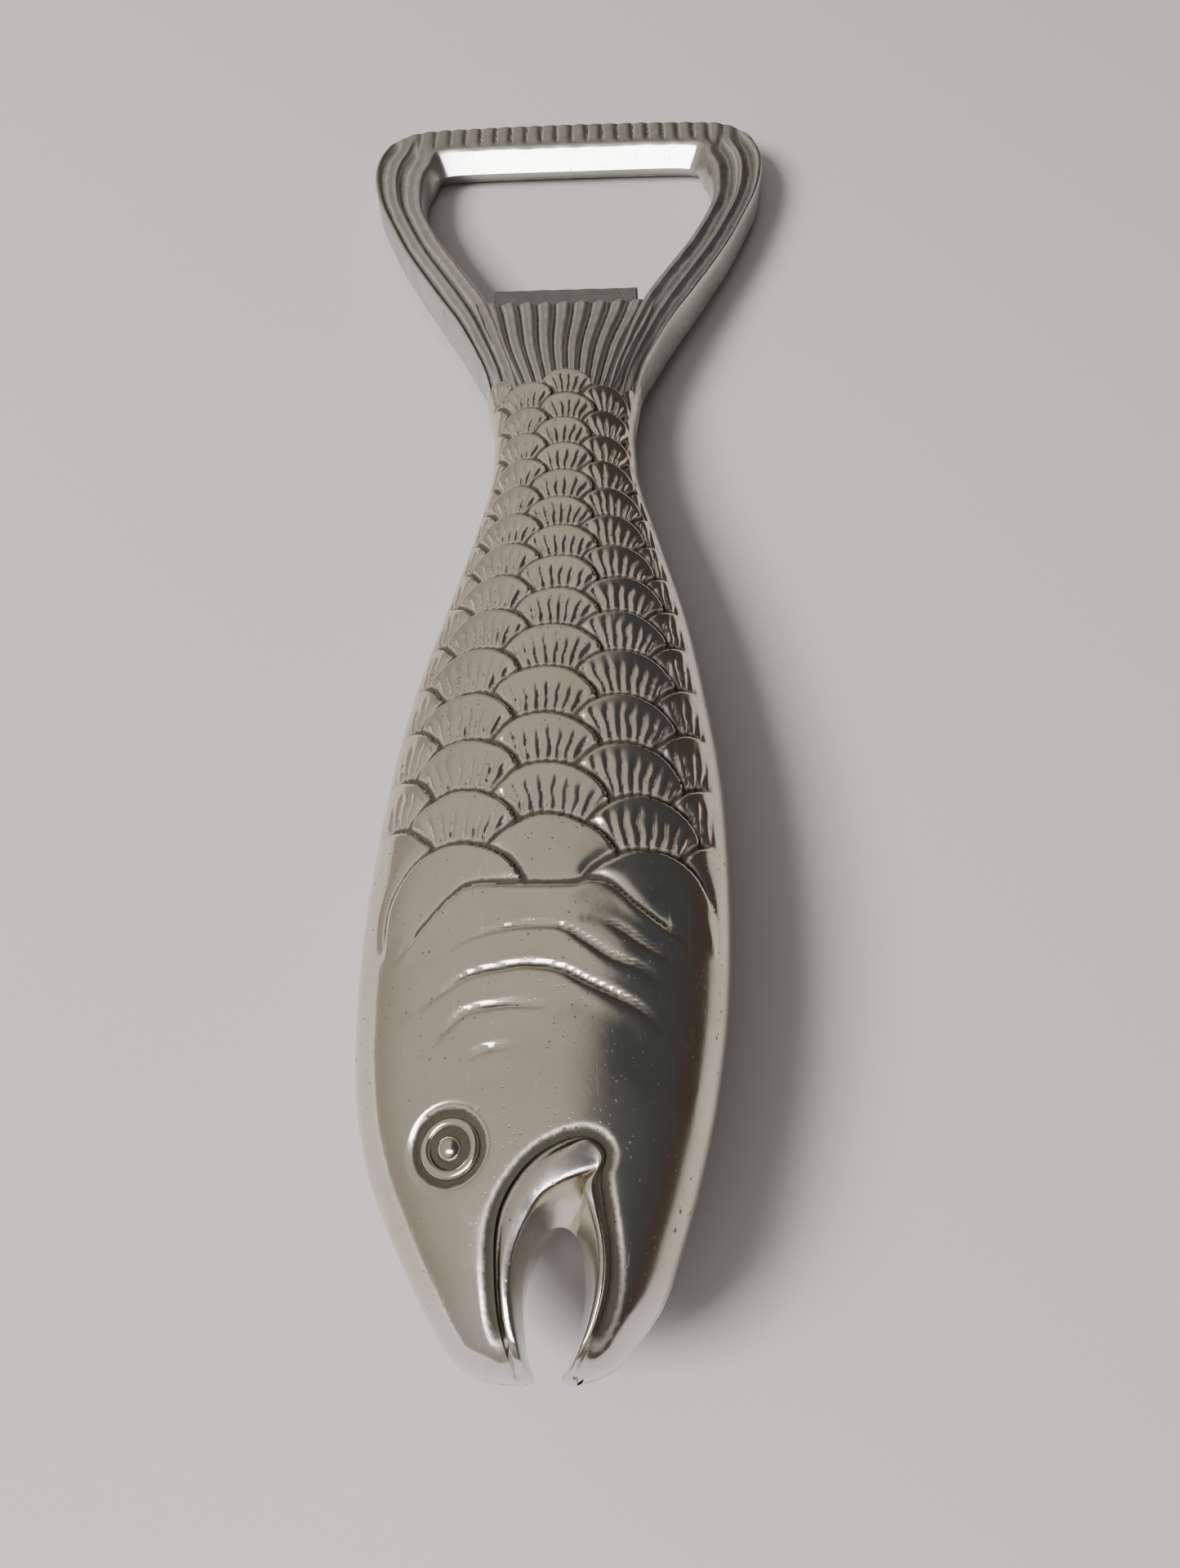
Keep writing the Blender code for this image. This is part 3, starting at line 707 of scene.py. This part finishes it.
def new_group(name, inputs, outputs):
    """An empty node group: its tree, and its input and output sockets by label."""
    group = bpy.data.node_groups.new(name, "ShaderNodeTree")
    for label, kind in inputs:
        group.interface.new_socket(label, in_out="INPUT", socket_type=kind)
    for label, kind in outputs:
        group.interface.new_socket(label, in_out="OUTPUT", socket_type=kind)
    source = group.nodes.new("NodeGroupInput").outputs
    target = group.nodes.new("NodeGroupOutput").inputs
    return group, Nodes(group), source, target


FLOAT, VECTOR, COLOUR = "NodeSocketFloat", "NodeSocketVector", "NodeSocketColor"


def make_tarnish_and_shade():
    """Green-brown patina that gathers in sheltered places; the same mask also lays painted shade in the gill
    folds, the mouth trough and the ray grooves.
    """
    group, n, given, out = new_group("tarnish_and_shade", (("Vector", VECTOR), ("Recess", FLOAT), ("Bloom", FLOAT)),
                                     (("Mask", FLOAT), ("Colour", COLOUR)))
    patches = n.noise(given["Vector"], 240, 4, 0.6)
    grain = n.noise(given["Vector"], 2400, 3, 0.6)
    uneven = n.math("ADD", n.math("MULTIPLY", patches, 0.55), n.math("MULTIPLY", grain, 0.35))
    level = n.math("ADD", given["Recess"], n.math("SUBTRACT", uneven, 0.5))
    n.join(n.span(level, 0.22, 0.95), out["Mask"])
    green = n.noise(given["Vector"], 110, 2, 0.5)
    dark = n.tint(n.span(green, 0.38, 0.62), (0.020, 0.014, 0.008, 1), (0.024, 0.025, 0.014, 1))
    pale = n.tint(n.span(grain, 0.35, 0.65), (0.105, 0.108, 0.085, 1), (0.165, 0.172, 0.145, 1))
    n.join(n.tint(given["Bloom"], dark, pale), out["Colour"])
    return group


def make_pits():
    """Small dark casting pits and specks, thicker in some patches than in others."""
    group, n, given, out = new_group("pits", (("Vector", VECTOR), ("Amount", FLOAT)), (("Mask", FLOAT),))
    total = None
    for scale, size, share in ((850, 0.15, 0.8), (2300, 0.20, 1.5)):
        cells = n.add("TexVoronoi")
        n.join(given["Vector"], cells.inputs["Vector"])
        cells.inputs["Scale"].default_value = scale
        chance = n.add("SeparateColor")
        n.join(cells.outputs["Color"], chance.inputs[0])
        patch = n.noise(given["Vector"], scale * 0.09, 2, 0.5)
        limit = n.math("MULTIPLY", given["Amount"], n.span(patch, 0.36, 0.68, 0, share))
        kept = n.math("LESS_THAN", chance.outputs[0], limit)
        radius = n.math("MULTIPLY", chance.outputs[1], size)
        ragged = n.math("ADD", cells.outputs["Distance"],
                        n.math("MULTIPLY", n.noise(given["Vector"], scale * 4, 2, 0.6), 0.12))
        dot = n.span(n.math("SUBTRACT", ragged, radius), 0.12, 0.02)
        dot = n.math("MULTIPLY", dot, kept)
        total = dot if total is None else n.math("MAXIMUM", total, dot)
    n.join(total, out["Mask"])
    return group


def make_scratches():
    """Fine handling scratches in four directions."""
    group, n, given, out = new_group("scratches", (("Vector", VECTOR), ("Amount", FLOAT)), (("Mask", FLOAT),))
    total = None
    for turn, scale in ((0.5, 260), (-0.9, 310), (1.9, 230), (2.7, 350)):
        lie = n.add("Mapping")
        n.join(given["Vector"], lie.inputs["Vector"])
        lie.inputs["Rotation"].default_value = (0.2 * turn, 0.3, turn)
        lie.inputs["Scale"].default_value = (1, 0.035, 1)
        streak = n.noise(lie.outputs[0], scale * 6, 1, 0.5, 0.15)
        breaks = n.noise(given["Vector"], scale, 2, 0.6)
        line = n.math("MULTIPLY", n.span(streak, 0.70, 0.78), n.span(breaks, 0.48, 0.62))
        total = line if total is None else n.math("MAXIMUM", total, line)
    n.join(n.math("MULTIPLY", total, given["Amount"]), out["Mask"])
    return group


def make_handling():
    """Broad smears where fingers have dulled the polish."""
    group, n, given, out = new_group("handling", (("Vector", VECTOR),), (("Smear", FLOAT),))
    broad = n.noise(given["Vector"], 45, 3, 0.55, 0.6)
    fine = n.noise(given["Vector"], 420, 4, 0.65)
    n.join(n.span(n.math("ADD", n.math("MULTIPLY", broad, 0.65), n.math("MULTIPLY", fine, 0.35)), 0.35, 0.68),
           out["Smear"])
    return group


GROUPS = {"tarnish_and_shade": make_tarnish_and_shade(), "pits": make_pits(), "scratches": make_scratches(),
          "handling": make_handling()}


def worn_metal(name, colour, dulled, polish, rough, pits, scratches, bloom, waves=0.35):
    """Old plated metal: bright where worn by rubbing, plus painted highlights; patinated where nothing
    reaches, plus painted shade in the folds and grooves.
    """
    material = bpy.data.materials.new(name)
    material.use_nodes = True
    n = Nodes(material.node_tree)
    shader = material.node_tree.nodes["Principled BSDF"]
    place = n.add("TexCoord").outputs["Object"]

    def group(label, **values):
        node = n.add("Group")
        node.node_tree = GROUPS[label]
        n.join(place, node.inputs["Vector"])
        for key, value in values.items():
            n.feed(node.inputs[key], value)
        return node.outputs

    shelter = n.add("Attribute", attribute_name="recess").outputs["Fac"]
    tarnish_and_shade = group("tarnish_and_shade", Recess=shelter, Bloom=bloom)
    specks = group("pits", Amount=pits)["Mask"]
    lines = group("scratches", Amount=scratches)["Mask"]
    smear = group("handling")["Smear"]
    metal = n.tint(smear, colour, dulled)
    metal = n.tint(n.math("MULTIPLY", specks, 0.75), metal, (0.10, 0.085, 0.065, 1))
    metal = n.tint(n.math("MULTIPLY", lines, 0.35), metal, (0.85, 0.82, 0.76, 1))
    wear_and_highlight = n.add("Attribute", attribute_name="wear_and_highlight").outputs["Fac"]
    # lighter metal colour where worn bright; on the jaw tips and the bar's face it is a painted highlight
    metal = n.tint(n.math("MULTIPLY", wear_and_highlight, 0.65), metal, (0.80, 0.78, 0.74, 1))
    # dark colour where the recess mask lies: patina, and painted shade in the gill folds, mouth trough and
    # ray grooves
    surface = n.tint(n.math("MULTIPLY", tarnish_and_shade["Mask"], 0.96), metal, tarnish_and_shade["Colour"])
    n.join(surface, shader.inputs["Base Color"])
    n.join(n.span(tarnish_and_shade["Mask"], 0, 1, 1, 0.05), shader.inputs["Metallic"])
    shader.inputs["Specular IOR Level"].default_value = 0.03
    gloss = n.span(smear, 0, 1, polish, rough)
    gloss = n.math("SUBTRACT", gloss, n.math("MULTIPLY", wear_and_highlight, polish * 0.6))
    gloss = n.math("ADD", gloss, n.math("MULTIPLY", lines, 0.18))
    gloss = n.math("ADD", gloss, n.math("MULTIPLY", specks, 0.25))
    gloss = n.math("ADD", gloss, n.math("MULTIPLY", tarnish_and_shade["Mask"], 0.38), clamp=True)
    n.join(gloss, shader.inputs["Roughness"])
    relief = n.math("MULTIPLY", n.noise(place, 330, 3, 0.6), waves)
    relief = n.math("ADD", relief, n.math("MULTIPLY", n.noise(place, 2600, 3, 0.6),
                                          n.span(tarnish_and_shade["Mask"], 0, 1, 0.05, 0.35)))
    relief = n.math("SUBTRACT", relief, n.math("MULTIPLY", specks, 0.10))
    relief = n.math("SUBTRACT", relief, n.math("MULTIPLY", lines, 0.10))
    bump_node = n.add("Bump")
    bump_node.inputs["Strength"].default_value = 0.55
    bump_node.inputs["Distance"].default_value = 0.0001
    n.join(relief, bump_node.inputs["Height"])
    n.join(bump_node.outputs[0], shader.inputs["Normal"])
    return material


body_metal = worn_metal("worn_nickel", (0.72, 0.665, 0.57, 1), (0.61, 0.56, 0.47, 1),
                        polish=0.12, rough=0.22, pits=0.85, scratches=0.5, bloom=0.1)
jaw_metal = worn_metal("polished_nickel", (0.74, 0.69, 0.61, 1), (0.63, 0.59, 0.51, 1),
                       polish=0.10, rough=0.20, pits=0.45, scratches=0.7, bloom=0.15)
tail_metal = worn_metal("tarnished_nickel", (0.60, 0.585, 0.53, 1), (0.44, 0.445, 0.39, 1),
                        polish=0.26, rough=0.42, pits=0.7, scratches=0.6, bloom=0.75)
lip_metal = worn_metal("bare_steel", (0.36, 0.36, 0.335, 1), (0.22, 0.22, 0.20, 1),
                       polish=0.38, rough=0.58, pits=0.9, scratches=1.0, bloom=0.5, waves=0.8)

make_flank("front_flank", 1, body_metal, "front_shell")
make_flank("back_flank", -1, body_metal, "back_shell")
make_mouth(jaw_metal)
eye_ring("eye_ring_front_smooth", 1, jaw_metal, "eye_ring_front")
eye_ring("eye_ring_back_smooth", -1, jaw_metal, "eye_ring_back")
make_pupil(body_metal)
make_tail_loop(tail_metal)
make_tail_fan(tail_metal)
make_lip(lip_metal)


# ---- stage ---------------------------------------------------------------------------
def make_floor():
    select_none()
    bpy.ops.mesh.primitive_plane_add(size=3, location=(0, 0, 0))
    floor = bpy.context.object
    floor.name = "floor"
    material = bpy.data.materials.new("pale_floor")
    material.use_nodes = True
    material.node_tree.nodes["Principled BSDF"].inputs["Base Color"].default_value = (0.55, 0.54, 0.53, 1)
    floor.data.materials.append(material)


def area_light(name, place, target, size, power, colour, mirrored):
    """A soft light: either only mirrored in the metal, or only falling on dull surfaces."""
    light = bpy.data.lights.new(name, "AREA")
    light.shape = "RECTANGLE"
    light.size, light.size_y = size
    light.energy, light.color = power, colour
    lamp = bpy.data.objects.new(name, light)
    lamp.location = place
    lamp.visible_glossy, lamp.visible_diffuse = mirrored, not mirrored
    lamp.rotation_euler = (Vector(target) - Vector(place)).to_track_quat("-Z", "Y").to_euler()
    bpy.context.collection.objects.link(lamp)


def make_light():
    world = bpy.data.worlds.new("studio")
    world.use_nodes = True
    n = Nodes(world.node_tree)
    facing = n.add("SeparateXYZ")
    n.join(n.add("TexCoord").outputs["Generated"], facing.inputs[0])
    low = n.tint(n.span(facing.outputs["X"], -0.5, 0.40), (0.46, 0.43, 0.38, 1), (0.085, 0.060, 0.045, 1))
    high = n.tint(n.span(facing.outputs["X"], 0.04, 0.34), (0.64, 0.61, 0.55, 1), (0.075, 0.085, 0.095, 1))
    sky = n.tint(n.span(facing.outputs["Z"], 0.1, 0.75), low, high)
    n.join(sky, world.node_tree.nodes["Background"].inputs["Color"])
    world.node_tree.nodes["Background"].inputs["Strength"].default_value = 0.85
    bpy.context.scene.world = world
    area_light("window", (-0.05, -0.52, 0.95), (0, 0.02, 0), (0.85, 0.36), 14, (0.95, 0.98, 1), True)
    area_light("side_softbox", (-0.7, -0.35, 0.75), (0, 0, 0), (0.40, 0.40), 21, (1, 0.985, 0.96), False)


def make_camera():
    """The camera stands close over the nose and looks down along the fish."""
    pitch, heading, roll = math.radians(60.07), math.radians(-3.3), math.radians(-3.93)
    forward = Vector((math.sin(heading) * math.cos(pitch), math.cos(heading) * math.cos(pitch),
                      -math.sin(pitch)))
    level = Vector((math.cos(heading), -math.sin(heading), 0))
    upright = level.cross(forward)
    right = math.cos(roll) * level + math.sin(roll) * upright
    up = -math.sin(roll) * level + math.cos(roll) * upright
    data = bpy.data.cameras.new("camera")
    data.sensor_fit, data.sensor_height = "VERTICAL", 36
    data.lens = 27.07
    data.clip_start, data.clip_end = 0.005, 20
    camera = bpy.data.objects.new("camera", data)
    spot = Vector((6.3, -4.9 - UNITS_LONG / 2, 106.0)) * UNIT
    camera.matrix_world = Matrix((
        (right.x, up.x, -forward.x, spot.x), (right.y, up.y, -forward.y, spot.y),
        (right.z, up.z, -forward.z, spot.z), (0, 0, 0, 1)))
    bpy.context.collection.objects.link(camera)
    bpy.context.scene.camera = camera


make_floor()
make_light()
make_camera()
